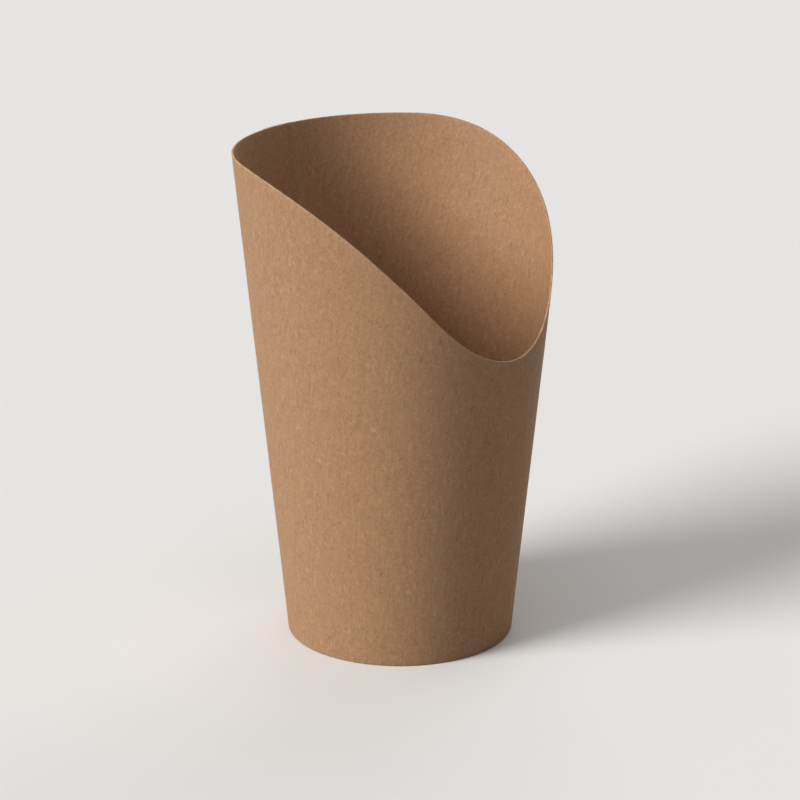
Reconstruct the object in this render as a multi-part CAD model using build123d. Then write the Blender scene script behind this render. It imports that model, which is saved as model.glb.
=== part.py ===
"""Kraft paper food cup with a scooped front.

The cup is two pieces of board. The sleeve is one sheet wrapped to a cone and
closed by a lapped seam at the back, and its front is die-cut to a scoop. The
base disc is pressed to a shallow cap, open downwards. The sleeve's lower edge
turns in and up as a hem, and the disc's flange is sealed between the two.

Frame: millimetres, +Z up, origin at the middle of the foot, on the surface
that the cup stands on. The scoop faces -Y and the seam is at +Y.
"""
from build123d import *
import math
import os

# Sleeve
FOOT_DIAMETER = 56.0
RIM_DIAMETER = 80.0
CUP_HEIGHT = 122.0
WALL_BOARD = 0.45

# Scoop, seen from the side: a straight flank, then an arc up to the level rim
SCOOP_DEPTH = 45.5
FLANK_DROP = 14.0
FLANK_ANGLE = 64.0

# Lapped seam: where both ends of the sheet lie flat, and where one eases down
LAP_WIDTH = 8.0
LAP_EASE = 3.0

# Base disc, and the hem that holds its flange
FLOOR_HEIGHT = 5.0
BASE_BOARD = 0.4
BASE_BEND = 0.6
FLANGE_CLEARANCE = 0.25
HEM_CLEARANCE = 0.4

# How far the sheet runs past the rim before it is cut, and cutters past the sheet
OVERRUN = 5.0

FOOT_RADIUS = FOOT_DIAMETER / 2
RIM_RADIUS = RIM_DIAMETER / 2
TAPER = (RIM_RADIUS - FOOT_RADIUS) / CUP_HEIGHT
# Board that slants with the wall measures this much more on the level
LEVEL_SHARE = math.hypot(1, TAPER)
WALL_LEVEL = WALL_BOARD * LEVEL_SHARE
BASE_LEVEL = BASE_BOARD * LEVEL_SHARE
# Level depths in from the sleeve's outer face
MIDDLE_DEPTH = WALL_LEVEL / 2
FLANGE_DEPTH = WALL_LEVEL + BASE_LEVEL
HEM_DEPTH = FLANGE_DEPTH + WALL_LEVEL
BLANK_TOP = CUP_HEIGHT + OVERRUN
CUT_TOP = BLANK_TOP + OVERRUN
CUT_REACH = max(RIM_RADIUS, FOOT_RADIUS) + OVERRUN


def wall_radius(height, depth=0):
    """Radius at a height, some level depth in from the sleeve's outer face."""
    return FOOT_RADIUS + height * TAPER - depth


def wall_point(height, depth=0):
    """Point of the upright section, as a radius and a height."""
    return (wall_radius(height, depth), height)


def turned(points, rounds):
    """Solid turned about the axis from an upright section with rounded corners."""
    section = make_face(Polyline(*points, close=True))
    for point, radius in rounds:
        corner = section.vertices().sort_by_distance(point)[0]
        section = fillet(corner, radius)
    return revolve(Plane.XZ * section, Axis.Z)


def plain_sleeve():
    """Sleeve with its turned-in hem, before it has a seam and a scoop."""
    outer_corner = wall_point(0)
    inner_corner = wall_point(0, HEM_DEPTH)
    hem_top = FLOOR_HEIGHT - BASE_BOARD - BASE_BEND - HEM_CLEARANCE
    section = [
        outer_corner,
        wall_point(BLANK_TOP),
        wall_point(BLANK_TOP, WALL_LEVEL),
        wall_point(WALL_BOARD, WALL_LEVEL),
        wall_point(WALL_BOARD, FLANGE_DEPTH),
        wall_point(hem_top, FLANGE_DEPTH),
        wall_point(hem_top, HEM_DEPTH),
        inner_corner,
    ]
    # Board that is folded flat is sharp inside and round outside
    return turned(section, [(outer_corner, WALL_BOARD), (inner_corner, WALL_BOARD)])


def seam_point(height, across, depth):
    """Point at the back of the sleeve, some distance across from its middle."""
    radius = wall_radius(height, depth)
    return (across, math.sqrt(radius**2 - across**2), height)


def lap_section(height):
    """Level section of the sheet's outer end, which lies on its inner end."""
    flat = LAP_WIDTH / 2
    cut_top = seam_point(height, -flat, -WALL_LEVEL)
    cut_root = seam_point(height, -flat, MIDDLE_DEPTH)
    bend = seam_point(height, flat, -WALL_LEVEL)
    landing = seam_point(height, flat + LAP_EASE, MIDDLE_DEPTH)
    return make_face([
        Line(cut_root, cut_top),
        ThreePointArc(cut_top, seam_point(height, 0, -WALL_LEVEL), bend),
        Line(bend, landing),
        ThreePointArc(landing, seam_point(height, 0, MIDDLE_DEPTH), cut_root),
    ])


def step_section(height):
    """Level section of the hollow between the sheet's inner end and the ease."""
    flat = LAP_WIDTH / 2
    clear = WALL_LEVEL + MIDDLE_DEPTH
    cut_root = seam_point(height, flat, 0)
    landing = seam_point(height, flat + LAP_EASE, clear)
    return make_face(Polyline(cut_root, landing, seam_point(height, flat, clear), close=True))


def along_seam(section, low):
    """Strip of the given level section, from a height up past the rim."""
    return loft([section(low), section(BLANK_TOP)], ruled=True)


def side_of_waste():
    """What is cut away above the rim, as an outline seen from the side."""
    low = CUP_HEIGHT - SCOOP_DEPTH
    angle = math.radians(FLANK_ANGLE)
    front = -wall_radius(low, MIDDLE_DEPTH)
    arc_radius = (SCOOP_DEPTH - FLANK_DROP) / (1 - math.cos(angle))
    flank_top = (front + FLANK_DROP / math.tan(angle), low + FLANK_DROP)
    arc_end = (flank_top[0] + arc_radius * math.sin(angle), CUP_HEIGHT)
    back = max(CUT_REACH, arc_end[0] + OVERRUN)
    flank_foot = (-CUT_REACH, low - (front + CUT_REACH) * math.tan(angle))
    return make_face([
        Line(flank_foot, flank_top),
        TangentArc(flank_top, arc_end, tangent=(math.cos(angle), math.sin(angle))),
        Polyline(arc_end, (back, CUP_HEIGHT), (back, CUT_TOP), (-CUT_REACH, CUT_TOP), flank_foot),
    ])


def scoop_waste():
    """What the die takes off above the rim, with edges square to the board."""
    prism = extrude(Plane.YZ * side_of_waste(), CUT_REACH, both=True)
    slant = Line(wall_point(FLOOR_HEIGHT, MIDDLE_DEPTH), wall_point(CUT_TOP, MIDDLE_DEPTH))
    cone = Face.revolve((Plane.XZ * slant).edge(), 360, Axis.Z)
    return thicken(cone & prism, 3 * WALL_BOARD, both=True)


def sleeve():
    """Sheet wrapped, lapped, hemmed and scooped."""
    wrapped = plain_sleeve() + along_seam(lap_section, WALL_BOARD)
    wrapped -= along_seam(step_section, FLOOR_HEIGHT)
    return wrapped - scoop_waste()


def base_disc():
    """Disc of board with its rim turned down inside the sleeve."""
    underside = FLOOR_HEIGHT - BASE_BOARD
    low = WALL_BOARD + FLANGE_CLEARANCE
    outer_corner = wall_point(FLOOR_HEIGHT, WALL_LEVEL)
    inner_corner = wall_point(underside, FLANGE_DEPTH)
    section = [
        (0, FLOOR_HEIGHT),
        outer_corner,
        wall_point(low, WALL_LEVEL),
        wall_point(low, FLANGE_DEPTH),
        inner_corner,
        (0, underside),
    ]
    return turned(section, [(outer_corner, BASE_BEND + BASE_BOARD), (inner_corner, BASE_BEND)])


def main():
    os.makedirs("parts", exist_ok=True)
    export_step(sleeve(), "parts/sleeve.step")
    export_step(base_disc(), "parts/base_disc.step")


main()
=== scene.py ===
import math

import bmesh
import bpy
import numpy as np
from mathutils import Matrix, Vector, noise


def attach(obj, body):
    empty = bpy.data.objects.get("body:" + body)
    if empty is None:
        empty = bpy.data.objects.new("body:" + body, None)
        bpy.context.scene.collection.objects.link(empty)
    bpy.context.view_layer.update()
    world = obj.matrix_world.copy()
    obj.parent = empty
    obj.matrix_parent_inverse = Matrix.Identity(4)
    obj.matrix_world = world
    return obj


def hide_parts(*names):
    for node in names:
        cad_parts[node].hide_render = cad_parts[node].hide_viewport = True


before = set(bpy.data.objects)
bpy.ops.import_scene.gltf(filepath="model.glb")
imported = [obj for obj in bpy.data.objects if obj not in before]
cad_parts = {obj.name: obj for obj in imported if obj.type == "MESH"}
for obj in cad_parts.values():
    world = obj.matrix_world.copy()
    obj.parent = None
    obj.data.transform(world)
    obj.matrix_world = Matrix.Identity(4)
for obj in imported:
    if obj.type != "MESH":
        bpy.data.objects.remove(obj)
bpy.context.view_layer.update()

MM = 0.001

# Sizes of the solids
FOOT_RADIUS = 28.0 * MM
RIM_RADIUS = 40.0 * MM
CUP_HEIGHT = 122.0 * MM
WALL_BOARD = 0.45 * MM
SCOOP_DEPTH = 45.5 * MM
FLANK_DROP = 14.0 * MM
FLANK_ANGLE = math.radians(64.0)
LAP_WIDTH = 8.0 * MM
FLOOR_HEIGHT = 5.0 * MM
BASE_BOARD = 0.4 * MM
BASE_BEND = 0.6 * MM
FLANGE_CLEARANCE = 0.25 * MM
HEM_CLEARANCE = 0.4 * MM

# Width of the stretch beside the lap where the sheet eases down to the plain wall
LAP_EASE = 2.4 * MM

# Slant of the wall, and the way that its outer face looks, as radius and height
TAPER = (RIM_RADIUS - FOOT_RADIUS) / CUP_HEIGHT
SLANT = math.atan(TAPER)
OUTWARD = np.array([math.cos(SLANT), -math.sin(SLANT)])

# Thickness on the level of board that slants with the wall
WALL_LEVEL = WALL_BOARD / math.cos(SLANT)
BASE_LEVEL = BASE_BOARD / math.cos(SLANT)

# Level depths in from the sleeve's outer face, height of the hem, and where the wall leaves its fold
FLANGE_DEPTH = WALL_LEVEL + BASE_LEVEL
HEM_DEPTH = FLANGE_DEPTH + WALL_LEVEL
HEM_TOP = FLOOR_HEIGHT - BASE_BOARD - BASE_BEND - HEM_CLEARANCE
WALL_START = WALL_BOARD - WALL_BOARD / 2 * math.sin(SLANT)

# Distances across from the seam's middle: the end of the lap, and of the closer steps beside it
LAP_END = LAP_WIDTH / 2
EASE_END = LAP_END + 2 * LAP_EASE

# Heights between which the lap gains its thickness: outside above the fold, inside above the floor
LAP_RISE_OUTSIDE = (WALL_BOARD, 3 * WALL_BOARD)
LAP_RISE_INSIDE = (FLOOR_HEIGHT, FLOOR_HEIGHT + LAP_EASE)

# How finely the board is meshed
BODY_STEPS = 372
EASE_STEPS = 12
LAP_STEPS = 8
WALL_ROWS = 54
RIM_DROPS = [2.4 * MM, 1.2 * MM, 0.6 * MM, 0.25 * MM]
BEND_STEPS = 6
HEM_ROWS = 9
DISC_STEPS = 384
DISC_RINGS = 24
DISC_BEND_STEPS = 8
RIM_BISECTIONS = 40
WELD_DISTANCE = 0.0001 * MM
SHARP_ANGLE = math.radians(38.0)

# What cutting and rubbing leave at the edges
EDGE_ROUND = 0.07 * MM
CUT_LEAN = 0.03 * MM
WEAR_REACH = 0.5 * MM

# Slow bends that a wrapped wall keeps: waves in a turn, share and phase of each
SWAY = 0.32 * MM
SWAY_START = 0.06 * CUP_HEIGHT
SWAY_WAVES = [(2, 0.55, 0.3), (4, 0.3, -1.6), (7, 0.15, 0.4)]

# Small unevenness of board that has taken up damp: scales to the metre, and heights where it grows
COCKLE = 0.045 * MM
COCKLE_BROAD = 60.0
COCKLE_FINE = 150.0
COCKLE_FINE_SHARE = 0.4
COCKLE_RISE = (HEM_TOP, 4 * HEM_TOP)

# Marks of the tools: teeth pressed into the hem, pleats round the floor's bend, and its dish
KNURL_DEPTH = 0.11 * MM
KNURL_TEETH = 93
PLEAT_DEPTH = 0.05 * MM
PLEATS = 96
PLEAT_START_SHARES = (0.9, 0.95)
PLEAT_RISE = (FLOOR_HEIGHT - 1.6 * MM, FLOOR_HEIGHT - 0.8 * MM)
FLOOR_DISH = 0.3 * MM
DISH_END_SHARE = 0.93


def smooth_step(low, high, value):
    """0 up to low, 1 from high on, and a smooth rise between them."""
    share = min(max((value - low) / (high - low), 0.0), 1.0)
    return share * share * (3.0 - 2.0 * share)


def wall_radius(height, depth=0.0):
    """Radius at a height, some level depth in from the sleeve's outer face."""
    return FOOT_RADIUS + height * TAPER - depth


def middle_radius(height):
    """Radius of the middle of the wall's board at a height."""
    return wall_radius(height, WALL_LEVEL / 2)


def place(turn, radius, height):
    """Point at an angle round from the front."""
    return (radius * math.sin(turn), -radius * math.cos(turn), height)


def side_profile(y):
    """Height of the rim at a distance back from the axis, seen from the side."""
    low = CUP_HEIGHT - SCOOP_DEPTH
    front = -middle_radius(low)
    arc_radius = (SCOOP_DEPTH - FLANK_DROP) / (1.0 - math.cos(FLANK_ANGLE))
    flank_end = front + FLANK_DROP / math.tan(FLANK_ANGLE)
    arc_end = flank_end + arc_radius * math.sin(FLANK_ANGLE)
    if y < flank_end:
        return low + (y - front) * math.tan(FLANK_ANGLE)
    if y < arc_end:
        return CUP_HEIGHT - arc_radius + math.sqrt(arc_radius**2 - (arc_end - y) ** 2)
    return CUP_HEIGHT


class Station:
    """One upright line of the sleeve. Near the seam it keeps its distance across
    from the seam's middle, and elsewhere it is a share of the way round. lift and
    drop say how far the outer and the inner face stand out from the plain wall.
    inner_end marks the lap, where the inner face belongs to the sheet's other end."""

    def __init__(self, across=None, share=None, lift=0.0, drop=0.0, inner_end=False):
        self.across, self.share = across, share
        self.lift, self.drop = lift, drop
        self.inner_end = inner_end
        self.top = self.rim_height()

    def turn(self, height):
        """Angle round from the front at a height."""
        radius = middle_radius(height)
        if self.across is not None:
            return math.pi - math.asin(self.across / radius)
        start = -math.pi + math.asin((LAP_END + CUT_LEAN) / radius)
        end = math.pi - math.asin(EASE_END / radius)
        return start + (end - start) * self.share

    def rim_height(self):
        """Height at which this line meets the rim, by bisection."""
        low, high = 0.0, CUP_HEIGHT
        for _ in range(RIM_BISECTIONS):
            middle = (low + high) / 2
            if side_profile(-middle_radius(middle) * math.cos(self.turn(middle))) > middle:
                low = middle
            else:
                high = middle
        return high


def stations():
    """Lines from the outer cut edge round the front and back over the lap."""
    lines = [Station(share=k / BODY_STEPS) for k in range(BODY_STEPS)]
    for across in np.linspace(EASE_END, LAP_END, EASE_STEPS + 1):
        lift = WALL_BOARD * (1.0 - smooth_step(0.0, LAP_EASE, across - LAP_END))
        lines.append(Station(across=across, lift=lift, drop=lift))
    for across in np.linspace(LAP_END - CUT_LEAN, -LAP_END, LAP_STEPS + 1):
        lines.append(Station(across=across, lift=WALL_BOARD, inner_end=True))
    return lines


def sway(turn, height):
    """Slow bend of the wall, more towards its free edge."""
    wave = sum(share * math.sin(count * turn + phase) for count, share, phase in SWAY_WAVES)
    return SWAY * smooth_step(SWAY_START, CUP_HEIGHT, height) * wave


def cockle(point):
    """Unevenness of the wall at a point, none down at the stiff hem."""
    broad = noise.noise(Vector(point) * COCKLE_BROAD)
    fine = noise.noise(Vector(point) * COCKLE_FINE)
    return COCKLE * smooth_step(*COCKLE_RISE, point[2]) * (broad + COCKLE_FINE_SHARE * fine)


def blank_place(turn, along):
    """Place on the flat blank of a point at a slant distance from the cone's tip."""
    flat_turn = turn * math.sin(SLANT)
    return along * math.sin(flat_turn), along * math.cos(flat_turn)


# Parts of a section, and so the material slots of a piece
OUTSIDE, HEM, INSIDE, CUT = range(4)


def wall_rows():
    """Heights up the wall as pairs: a share of the way, and a drop from the rim."""
    rows = [(k / WALL_ROWS, RIM_DROPS[0]) for k in range(WALL_ROWS)]
    return rows + [(1.0, drop) for drop in RIM_DROPS + [EDGE_ROUND]]


def wall_line(station, rows, side):
    """Points and blank places up one face of the wall, from the hem to the rim.
    side is 1 for the outer face and -1 for the inner one."""
    points, flat = [], []
    for share, drop in rows:
        height = WALL_START + (station.top - drop - WALL_START) * share
        turn = station.turn(height)
        radius = middle_radius(height)
        shift = side * WALL_BOARD / 2 + cockle(place(turn, radius, height))
        if side > 0:
            shift += station.lift * smooth_step(*LAP_RISE_OUTSIDE, height)
        else:
            shift += station.drop * smooth_step(*LAP_RISE_INSIDE, height)
        reach, level = np.array([radius + sway(turn, height), height]) + shift * OUTWARD
        points.append(place(turn, reach, level))
        sheet_turn = turn - 2 * math.pi if side < 0 and station.inner_end else turn
        flat.append(blank_place(sheet_turn, radius / math.sin(SLANT)))
    return points, flat


def arc(centre, radius, turns):
    """Points of a section round a centre, as radius and height."""
    return [centre + radius * np.array([math.cos(turn), math.sin(turn)]) for turn in turns]


def bend(centre, start, end):
    """Outside of the folded board between two angles, without its ends."""
    return arc(centre, WALL_BOARD, np.linspace(start, end, BEND_STEPS + 1)[1:-1])


def hem_section():
    """Fold, knurled face and the rest of the hem, from the outside of the wall to its inside."""
    outer = np.array([wall_radius(WALL_BOARD, WALL_LEVEL), WALL_BOARD])
    inner = np.array([wall_radius(WALL_BOARD, FLANGE_DEPTH), WALL_BOARD])
    fold = bend(outer, -SLANT, -math.pi / 2)
    fold += [np.array([outer[0], 0.0]), np.array([inner[0], 0.0])]
    fold += bend(inner, -math.pi / 2, -math.pi - SLANT)
    heights = np.linspace(WALL_BOARD * (1.0 + math.sin(SLANT)), HEM_TOP - EDGE_ROUND, HEM_ROWS)
    face = [np.array([wall_radius(height, HEM_DEPTH), height]) for height in heights]
    top = [
        np.array([wall_radius(HEM_TOP, HEM_DEPTH - EDGE_ROUND), HEM_TOP]),
        np.array([wall_radius(HEM_TOP, FLANGE_DEPTH + EDGE_ROUND), HEM_TOP]),
        np.array([wall_radius(HEM_TOP - EDGE_ROUND, FLANGE_DEPTH), HEM_TOP - EDGE_ROUND]),
    ]
    return fold, face, top + [inner]


def hem_line(station, fold, face, rest):
    """Points and blank places of the fold and the hem at one station."""
    turn = station.turn(0.0)
    tooth = KNURL_DEPTH * max(0.0, math.sin(KNURL_TEETH * turn))
    section = fold + [point + np.array([tooth, 0.0]) for point in face] + rest
    along = middle_radius(WALL_START) / math.sin(SLANT)
    points, flat = [], []
    for before, point in zip([section[0]] + section, section):
        along -= np.linalg.norm(point - before)
        points.append(place(turn, point[0], point[1]))
        flat.append(blank_place(turn, along))
    return points, flat


def sleeve_loop(station, rows, hem):
    """Closed section of the sleeve at one station, from the rim down and back up."""
    outside, outside_flat = wall_line(station, rows + [(1.0, 0.0)], 1)
    inside, inside_flat = wall_line(station, rows + [(1.0, 0.0)], -1)
    across = np.array(inside[-1]) - np.array(outside[-1])
    inset = across / np.linalg.norm(across) * EDGE_ROUND
    outside[-1] = tuple(np.array(outside[-1]) + inset)
    inside[-1] = tuple(np.array(inside[-1]) - inset)
    hem_points, hem_flat = hem_line(station, *hem)
    return outside[::-1] + hem_points + inside, outside_flat[::-1] + hem_flat + inside_flat


def rim_wear(rows):
    """How rubbed each row is, from the foot up, and the rim itself."""
    return [math.exp(-drop / WEAR_REACH) if share == 1.0 else 0.0 for share, drop in rows] + [1.0]


def weld(mesh):
    """Joins points that fall together, and turns every face outwards."""
    work = bmesh.new()
    work.from_mesh(mesh)
    bmesh.ops.remove_doubles(work, verts=work.verts, dist=WELD_DISTANCE)
    bmesh.ops.recalc_face_normals(work, faces=work.faces)
    work.to_mesh(mesh)
    work.free()


def grid_object(name, points, flat, parts, wear, closed):
    """Mesh of sections set round the axis. flat has one section more than points.
    parts holds the slot of each face, and wear how rubbed each point of a section is."""
    count, length = len(points), len(points[0])
    faces, places, slots = [], [], []
    for i in range(count):
        after = (i + 1) % count
        for j in range(length if closed else length - 1):
            k = (j + 1) % length
            faces.append((i * length + j, i * length + k, after * length + k, after * length + j))
            places += [flat[i][j], flat[i][k], flat[i + 1][k], flat[i + 1][j]]
            slots.append(parts[i][j])
    mesh = bpy.data.meshes.new(name)
    mesh.from_pydata([point for section in points for point in section], [], faces)
    layer = mesh.uv_layers.new(name="blank")
    layer.uv.foreach_set("vector", (np.array(places) / MM).astype(np.float32).ravel())
    mesh.polygons.foreach_set("material_index", slots)
    worn = mesh.attributes.new("worn", "FLOAT", "POINT")
    worn.data.foreach_set("value", np.tile(wear, count).astype(np.float32))
    weld(mesh)
    mesh.polygons.foreach_set("use_smooth", [True] * len(mesh.polygons))
    mesh.set_sharp_from_angle(angle=SHARP_ANGLE)
    piece = bpy.data.objects.new(name, mesh)
    bpy.context.scene.collection.objects.link(piece)
    return piece


def sleeve_parts(outer, inner, wall, hem):
    """What each step round the sleeve's section is, given what its two faces are."""
    return [CUT] + [outer] * wall + [HEM] * (hem + 1) + [inner] * wall + [CUT] * 2


def build_sleeve():
    """Sleeve with its lapped seam, its hem and its scooped rim."""
    rows = wall_rows()
    fold, face, rest = hem_section()
    loops = [sleeve_loop(station, rows, (fold, face, rest)) for station in stations()]
    points = [loop[0] for loop in loops]
    flat = [loop[1] for loop in loops]
    wall = len(rows) - 1
    hem = len(fold + face + rest)
    parts = [sleeve_parts(OUTSIDE, INSIDE, wall, hem) for _ in loops]
    # Cut ends of the sheet: the inner one under the lap, and the outer one that closes the round
    parts[BODY_STEPS + EASE_STEPS] = sleeve_parts(OUTSIDE, CUT, wall, hem)
    parts[-1] = sleeve_parts(CUT, INSIDE, wall, hem)
    worn = rim_wear(rows)
    wear = worn[::-1] + [1.0] * len(fold) + [0.0] * (hem - len(fold)) + worn
    return grid_object("cup_sleeve", points, flat + flat[-1:], parts, wear, True)


def disc_section():
    """Half section of the base disc from its middle on top to its middle below."""
    top, under = FLOOR_HEIGHT, FLOOR_HEIGHT - BASE_BOARD
    low = WALL_BOARD + FLANGE_CLEARANCE
    round_out, round_in = BASE_BEND + BASE_BOARD, BASE_BEND
    centre_height = under - BASE_BEND
    centre_depth = WALL_LEVEL + round_out / math.cos(SLANT)
    centre = np.array([wall_radius(centre_height, centre_depth), centre_height])
    plate = [np.array([share * centre[0], top]) for share in np.linspace(0.0, 1.0, DISC_RINGS)]
    turns = np.linspace(math.pi / 2, -SLANT, DISC_BEND_STEPS + 1)[1:]
    arc_out = arc(centre, round_out, turns)
    arc_in = arc(centre, round_in, turns[::-1])
    flange = [np.array([wall_radius(low, depth), low]) for depth in (WALL_LEVEL, FLANGE_DEPTH)]
    below = [np.array([point[0], under]) for point in plate[::-1]]
    parts = [OUTSIDE] * (len(plate) + len(arc_out)) + [CUT] + [INSIDE] * (len(arc_in) + len(below))
    return plate + arc_out + flange + arc_in + below, parts


def floor_shift(turn, share, height):
    """How far pressing moves the disc up at a share of the way out: its dish and its pleats."""
    dish = FLOOR_DISH * (1.0 - smooth_step(0.0, DISH_END_SHARE, share))
    pleat = PLEAT_DEPTH * math.sin(PLEATS * turn) * smooth_step(*PLEAT_START_SHARES, share)
    return pleat * smooth_step(*PLEAT_RISE, height) - dish


def build_base():
    """Base disc with its flange, dished and pleated by the press."""
    section, parts = disc_section()
    paths = np.cumsum([0.0] + [np.linalg.norm(b - a) for a, b in zip(section, section[1:])])
    rim = max(point[0] for point in section)
    points, flat = [], []
    for turn in np.linspace(0.0, 2 * math.pi, DISC_STEPS + 1):
        line, line_flat = [], []
        for (radius, height), path in zip(section, paths):
            line.append(place(turn, radius, height + floor_shift(turn, radius / rim, height)))
            reach = min(path, paths[-1] - path)
            line_flat.append((reach * math.sin(turn), reach * math.cos(turn)))
        points.append(line)
        flat.append(line_flat)
    return grid_object("cup_base", points[:-1], flat, [parts] * DISC_STEPS, [0.0] * len(section), False)


# Colours of the board, as linear light
KRAFT_RED = (0.480, 0.264, 0.138, 1.0)
KRAFT_STRAW = (0.472, 0.271, 0.147, 1.0)
FIBRE_DARK = (0.215, 0.108, 0.050, 1.0)
FIBRE_LIGHT = (0.660, 0.440, 0.265, 1.0)
EDGE_DARK = (0.420, 0.255, 0.140, 1.0)
EDGE_LIGHT = (0.660, 0.455, 0.285, 1.0)

# Where in one endless pattern each face of the board starts, in millimetres
OUTSIDE_START = (0.0, 0.0)
INSIDE_START = (431.0, 97.0)
FLOOR_START = (217.0, 640.0)
UNDER_START = (850.0, 310.0)

# Noises on the blank: scale to the millimetre, detail and roughness
CLOUDS = (0.36, 2.0, 0.5)
MOTTLE = (1.05, 3.0, 0.65)
GRAIN = (1.0, 3.0, 0.6)
FINE = (3.2, 2.0, 0.6)
DRIFT = (0.42, 2.0, 0.5)
GRAIN_STRETCH = (1.5, 0.14)
DRIFT_OFFSET = (71.0, 13.0)

# Weights of clouds, mottle, grain and fine in the tone, and of mottle, fine and grain in the relief
TONE_SHARES = (0.11, 0.31, 0.24, 0.34)
RELIEF_SHARES = (0.5, 0.5, 0.25)
HAIR_RELIEF_SHARE = 0.25
RELIEF_DEPTH = 0.06 * MM

# Values of the noises between which the colour changes, and how far it does
DRIFT_RANGE = (0.35, 0.65)
TONE_RANGE = (0.34, 0.66)
TONE_SPREAD = 0.18
RUB_RANGE = (0.38, 0.66)
RUB_STRENGTHS = (0.1, 0.6)

# Finishes of the board: roughness at the two ends of the mottle's range, and strength of the relief
PLAIN = ((0.66, 0.86), 0.5)
COATED = ((0.48, 0.62), 0.35)
GLOSS_RANGE = (0.3, 0.7)
BOARD_SPECULAR = 0.35

# Hairs in the board: shade, strength, offset, turn from the grain in degrees and width of line
FIBRES = [
    (FIBRE_DARK, 0.34, (3.0, 17.0), 6.0, 0.035),
    (FIBRE_LIGHT, 0.34, (41.0, 5.0), -9.0, 0.045),
    (FIBRE_DARK, 0.30, (88.0, 61.0), 52.0, 0.030),
    (FIBRE_LIGHT, 0.32, (19.0, 140.0), -47.0, 0.040),
]

# Noise whose level lines are the hairs, with its warp last, and the noise that breaks them up
HAIR_STRETCH = (0.66, 0.26)
HAIR_NOISE = (1.0, 1.0, 0.4, 0.7)
HAIR_LEVEL = 0.5
GAP_NOISE = (1.7, 1.0, 0.5)
GAP_RANGE = (0.51, 0.60)

# Flecks: the cells that hold them, their size and solid core, which cells have one, and strength
FLECK_SCALE = 0.34
FLECK_STRETCH = (1.0, 0.45)
FLECK_SIZE = 0.075
FLECK_CORE_SHARE = 0.35
FLECK_PICK = (0.6, 0.75)
FLECK_STRENGTH = 0.5

# Cut edge: noises for its fur and its layers with scales to the metre, their weights, and its finish
EDGE_FUR = (2600.0, 3.0, 0.65)
EDGE_LAYERS = (420.0, 2.0, 0.5)
EDGE_SHARES = (0.6, 0.4)
EDGE_RANGE = (0.36, 0.64)
EDGE_RELIEF = 0.6
EDGE_RELIEF_DEPTH = 0.08 * MM
EDGE_ROUGHNESS = 0.95
EDGE_SPECULAR = 0.2

# Sockets of a Mix node that mixes colours
MIX_SHARE, MIX_FIRST, MIX_SECOND = 0, 6, 7
MIX_RESULT = 2


class Graph:
    """Short forms for adding and joining the nodes of a material or a world."""

    def __init__(self, owner):
        owner.use_nodes = True
        self.tree = owner.node_tree

    def add(self, kind, inputs, **settings):
        """New node, with values or sockets fed to its inputs."""
        node = self.tree.nodes.new("ShaderNode" + kind)
        for name, value in settings.items():
            setattr(node, name, value)
        for key, value in inputs.items():
            self.feed(node.inputs[key], value)
        return node

    def feed(self, socket, value):
        """Links a socket to another one, or sets its value."""
        if isinstance(value, bpy.types.NodeSocket):
            self.tree.links.new(value, socket)
        else:
            socket.default_value = value

    def set_shader(self, **values):
        """Feeds the main shader's sockets, named with _ for a space."""
        shader = self.tree.nodes["Principled BSDF"]
        for name, value in values.items():
            self.feed(shader.inputs[name.replace("_", " ")], value)

    def math(self, operation, *values):
        """Result of one operation on numbers."""
        node = self.add("Math", {}, operation=operation)
        for socket, value in zip(node.inputs, values):
            self.feed(socket, value)
        return node.outputs[0]

    def moved(self, vector, offset=(0.0, 0.0), scale=(1.0, 1.0), turn=0.0):
        """Vector stretched, then turned, then shifted in its own plane."""
        inputs = {"Vector": vector, "Scale": (*scale, 1.0), "Location": (*offset, 0.0)}
        inputs["Rotation"] = (0.0, 0.0, turn)
        return self.add("Mapping", inputs).outputs[0]

    def noise(self, vector, scale, detail, rough, warp=0.0):
        """Smooth noise from 0 to 1."""
        inputs = {"Vector": vector, "Scale": scale, "Detail": detail}
        inputs |= {"Roughness": rough, "Distortion": warp}
        return self.add("TexNoise", inputs).outputs["Fac"]

    def ranged(self, value, low, high, to_low=0.0, to_high=1.0):
        """Value taken smoothly from one range to another."""
        inputs = {"Value": value, "From Min": low, "From Max": high}
        inputs |= {"To Min": to_low, "To Max": to_high}
        return self.add("MapRange", inputs, interpolation_type="SMOOTHSTEP").outputs[0]

    def mix(self, share, first, second):
        """First colour, with a share of the second one."""
        inputs = {MIX_SHARE: share, MIX_FIRST: first, MIX_SECOND: second}
        return self.add("Mix", inputs, data_type="RGBA").outputs[MIX_RESULT]

    def weighted(self, values, weights):
        """Sum of values, each times its weight."""
        total = 0.0
        for value, weight in zip(values, weights):
            total = self.math("MULTIPLY_ADD", value, weight, total)
        return total

    def bump(self, height, strength, distance):
        """Normal of a surface with this fine relief."""
        inputs = {"Height": height, "Strength": strength, "Distance": distance}
        return self.add("Bump", inputs).outputs[0]

    def seen_rays(self):
        """1 for rays that show a surface, and 0 for those that only carry its light."""
        path = self.add("LightPath", {}).outputs
        shown = self.math("MAXIMUM", path["Is Camera Ray"], path["Is Glossy Ray"])
        return self.math("MAXIMUM", shown, path["Is Transmission Ray"])


def fibre_lines(graph, vector, offset, turn, width):
    """Short curved hairs: level lines of a noise, broken up by another one."""
    moved = graph.moved(graph.moved(vector, turn=turn), offset, HAIR_STRETCH)
    level = graph.math("SUBTRACT", graph.noise(moved, *HAIR_NOISE), HAIR_LEVEL)
    line = graph.ranged(graph.math("ABSOLUTE", level), 0.0, width, 1.0, 0.0)
    gaps = graph.ranged(graph.noise(moved, *GAP_NOISE), *GAP_RANGE)
    return graph.math("MULTIPLY", line, gaps)


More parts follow.
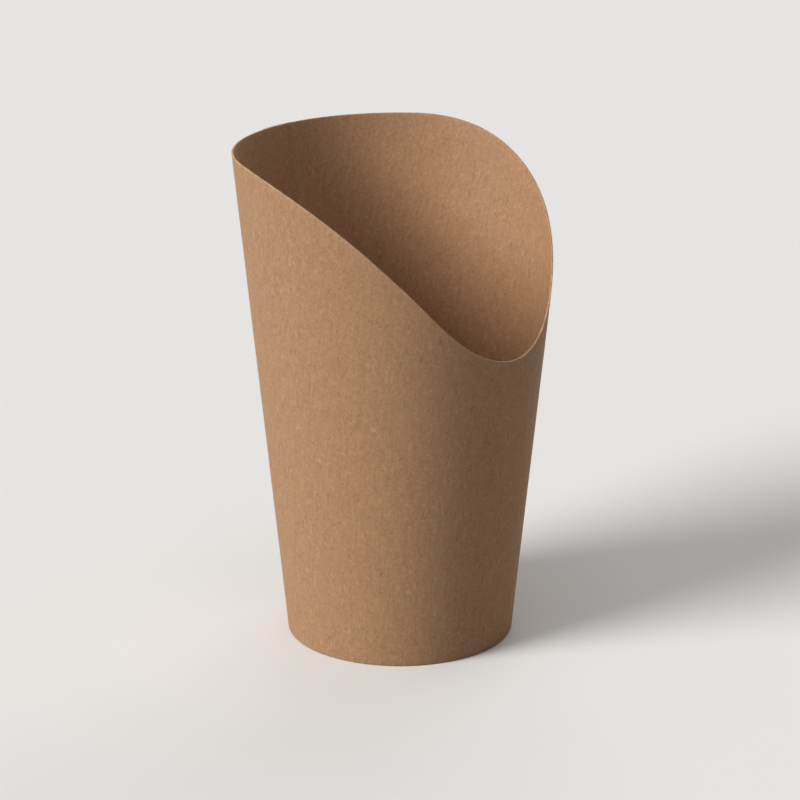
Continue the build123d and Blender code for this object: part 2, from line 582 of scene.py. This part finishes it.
def flecks(graph, vector):
    """Sparse small flecks, drawn out along the grain."""
    stretched = graph.moved(vector, scale=FLECK_STRETCH)
    cells = graph.add("TexVoronoi", {"Vector": stretched, "Scale": FLECK_SCALE})
    core = FLECK_SIZE * FLECK_CORE_SHARE
    near = graph.ranged(cells.outputs["Distance"], core, FLECK_SIZE, 1.0, 0.0)
    pick = graph.add("SeparateColor", {"Color": cells.outputs["Color"]}).outputs[0]
    return graph.math("MULTIPLY", near, graph.ranged(pick, *FLECK_PICK))


def board_colour(graph, blank, tone):
    """Colour that drifts between two hues, and is lighter or darker with the tone."""
    drift = graph.noise(graph.moved(blank, DRIFT_OFFSET), *DRIFT)
    hue = graph.mix(graph.ranged(drift, *DRIFT_RANGE), KRAFT_RED, KRAFT_STRAW)
    gain = graph.ranged(tone, *TONE_RANGE, 1.0 - TONE_SPREAD, 1.0 + TONE_SPREAD)
    return graph.add("VectorMath", {0: hue, "Scale": gain}, operation="SCALE").outputs[0]


def kraft(name, start, finish):
    """Kraft board: even formation, grain, hairs of both shades, flecks and rubbed edges."""
    roughness, bump = finish
    material = bpy.data.materials.new(name)
    graph = Graph(material)
    blank = graph.moved(graph.add("UVMap", {}, uv_map="blank").outputs[0], start)
    clouds = graph.noise(blank, *CLOUDS)
    mottle = graph.noise(blank, *MOTTLE)
    grain = graph.noise(graph.moved(blank, scale=GRAIN_STRETCH), *GRAIN)
    fine = graph.noise(blank, *FINE)
    colour = board_colour(graph, blank, graph.weighted((clouds, mottle, grain, fine), TONE_SHARES))
    relief = graph.weighted((mottle, fine, grain), RELIEF_SHARES)
    for shade, strength, offset, turn, width in FIBRES:
        hairs = fibre_lines(graph, blank, offset, math.radians(turn), width)
        colour = graph.mix(graph.math("MULTIPLY", hairs, strength), colour, shade)
        relief = graph.math("MULTIPLY_ADD", hairs, HAIR_RELIEF_SHARE, relief)
    specks = graph.math("MULTIPLY", flecks(graph, blank), FLECK_STRENGTH)
    colour = graph.mix(specks, colour, FIBRE_DARK)
    worn = graph.add("Attribute", {}, attribute_name="worn").outputs["Fac"]
    rubbed = graph.math("MULTIPLY", worn, graph.ranged(mottle, *RUB_RANGE, *RUB_STRENGTHS))
    graph.set_shader(
        Base_Color=graph.mix(rubbed, colour, FIBRE_LIGHT),
        Roughness=graph.ranged(mottle, *GLOSS_RANGE, *roughness),
        Specular_IOR_Level=BOARD_SPECULAR,
        Normal=graph.bump(relief, bump, RELIEF_DEPTH),
    )
    return material


def cut_edge(name):
    """Raw edge left by the die: paler, layered and furry."""
    material = bpy.data.materials.new(name)
    graph = Graph(material)
    here = graph.add("TexCoord", {}).outputs["Object"]
    fur = graph.noise(here, *EDGE_FUR)
    tone = graph.weighted((fur, graph.noise(here, *EDGE_LAYERS)), EDGE_SHARES)
    graph.set_shader(
        Base_Color=graph.mix(graph.ranged(tone, *EDGE_RANGE), EDGE_DARK, EDGE_LIGHT),
        Roughness=EDGE_ROUGHNESS,
        Specular_IOR_Level=EDGE_SPECULAR,
        Normal=graph.bump(fur, EDGE_RELIEF, EDGE_RELIEF_DEPTH),
    )
    return material


def dress(piece, materials, node):
    """Gives a piece its materials, one for each part, and sets it in its solid's place."""
    for material in materials:
        piece.data.materials.append(material)
    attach(piece, "root")
    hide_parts(node)


def build_cup():
    """Both pieces. Each face of the board shows another stretch of the same pattern."""
    outside = kraft("kraft_outside", OUTSIDE_START, PLAIN)
    inside = kraft("kraft_inside", INSIDE_START, COATED)
    floor_top = kraft("kraft_floor", FLOOR_START, COATED)
    under = kraft("kraft_under", UNDER_START, PLAIN)
    edge = cut_edge("kraft_cut_edge")
    dress(build_sleeve(), [outside, outside, inside, edge], "sleeve")
    dress(build_base(), [floor_top, floor_top, under, edge], "base_disc")


# Ground and surroundings: the colours that show, and those that only light the cup
GROUND_SIZE = 8.0
GROUND_SEEN = (0.86, 0.855, 0.845, 1.0)
GROUND_LIT = (0.32, 0.315, 0.305, 1.0)
GROUND_ROUGHNESS = 0.9
GROUND_SPECULAR = 0.1
BACKGROUND = (0.79, 0.785, 0.775, 1.0)
AMBIENT_COLOUR = (0.97, 0.985, 1.0, 1.0)
AMBIENT = 0.17

# Far soft lamps: name, turn from the camera, height and spread in degrees, and strength
LAMPS = [
    ("key", -60.0, 33.0, 27.0, 2.80),
    ("top", -10.0, 80.0, 42.0, 0.45),
    ("fill", 165.0, 28.0, 60.0, 0.85),
]
LAMP_COLOUR = (1.0, 0.99, 0.975)
LAMP_REACH = 3.0

# Camera as fitted to the photograph: where it stands, and what it looks at
VIEW_TURN = math.radians(-51.0)
VIEW_DISTANCE = 736.0 * MM
VIEW_HEIGHT = 303.0 * MM
AIM = Vector((0.0, 0.0, 59.0 * MM))
LENS_MM = 142.0
SENSOR_MM = 36.0


def stand(thing, turn, distance, height):
    """Sets a lamp or camera at an angle round from the front, turned to the cup."""
    bpy.context.scene.collection.objects.link(thing)
    thing.location = Vector(place(turn, distance, height))
    thing.rotation_euler = (AIM - thing.location).to_track_quat("-Z", "Y").to_euler()


def build_ground():
    """Pale floor that the cup stands on."""
    half = GROUND_SIZE / 2
    mesh = bpy.data.meshes.new("ground")
    corners = [(-half, -half, 0.0), (half, -half, 0.0), (half, half, 0.0), (-half, half, 0.0)]
    mesh.from_pydata(corners, [], [(0, 1, 2, 3)])
    ground = bpy.data.objects.new("ground", mesh)
    bpy.context.scene.collection.objects.link(ground)
    material = bpy.data.materials.new("pale_ground")
    graph = Graph(material)
    colour = graph.mix(graph.seen_rays(), GROUND_LIT, GROUND_SEEN)
    graph.set_shader(Base_Color=colour, Roughness=GROUND_ROUGHNESS, Specular_IOR_Level=GROUND_SPECULAR)
    mesh.materials.append(material)


def build_world():
    """Weak light from all round, behind a pale background."""
    world = bpy.data.worlds.new("studio")
    bpy.context.scene.world = world
    graph = Graph(world)
    light = graph.tree.nodes["Background"]
    graph.feed(light.inputs["Strength"], AMBIENT)
    graph.feed(light.inputs["Color"], AMBIENT_COLOUR)
    shown = graph.add("Background", {"Color": BACKGROUND})
    both = graph.add("MixShader", {0: graph.seen_rays(), 1: light.outputs[0], 2: shown.outputs[0]})
    graph.feed(graph.tree.nodes["World Output"].inputs["Surface"], both.outputs[0])


def add_lamp(name, turn, height, spread, strength):
    """Far soft lamp at a turn from the camera and a height, in degrees, turned to the cup."""
    data = bpy.data.lights.new(name, "SUN")
    data.angle = math.radians(spread)
    data.energy = strength
    data.color = LAMP_COLOUR
    lamp = bpy.data.objects.new(name, data)
    up = math.radians(height)
    stand(lamp, VIEW_TURN + math.radians(turn), LAMP_REACH * math.cos(up), LAMP_REACH * math.sin(up))


def build_lights():
    """Key, top and fill."""
    for lamp in LAMPS:
        add_lamp(*lamp)


def build_camera():
    """Camera at the photograph's viewing angle."""
    data = bpy.data.cameras.new("camera")
    data.sensor_width = SENSOR_MM
    data.lens = LENS_MM
    camera = bpy.data.objects.new("camera", data)
    stand(camera, VIEW_TURN, VIEW_DISTANCE, VIEW_HEIGHT)
    bpy.context.scene.camera = camera


build_cup()
build_ground()
build_world()
build_lights()
build_camera()
bpy.context.scene.view_settings.view_transform = "Standard"
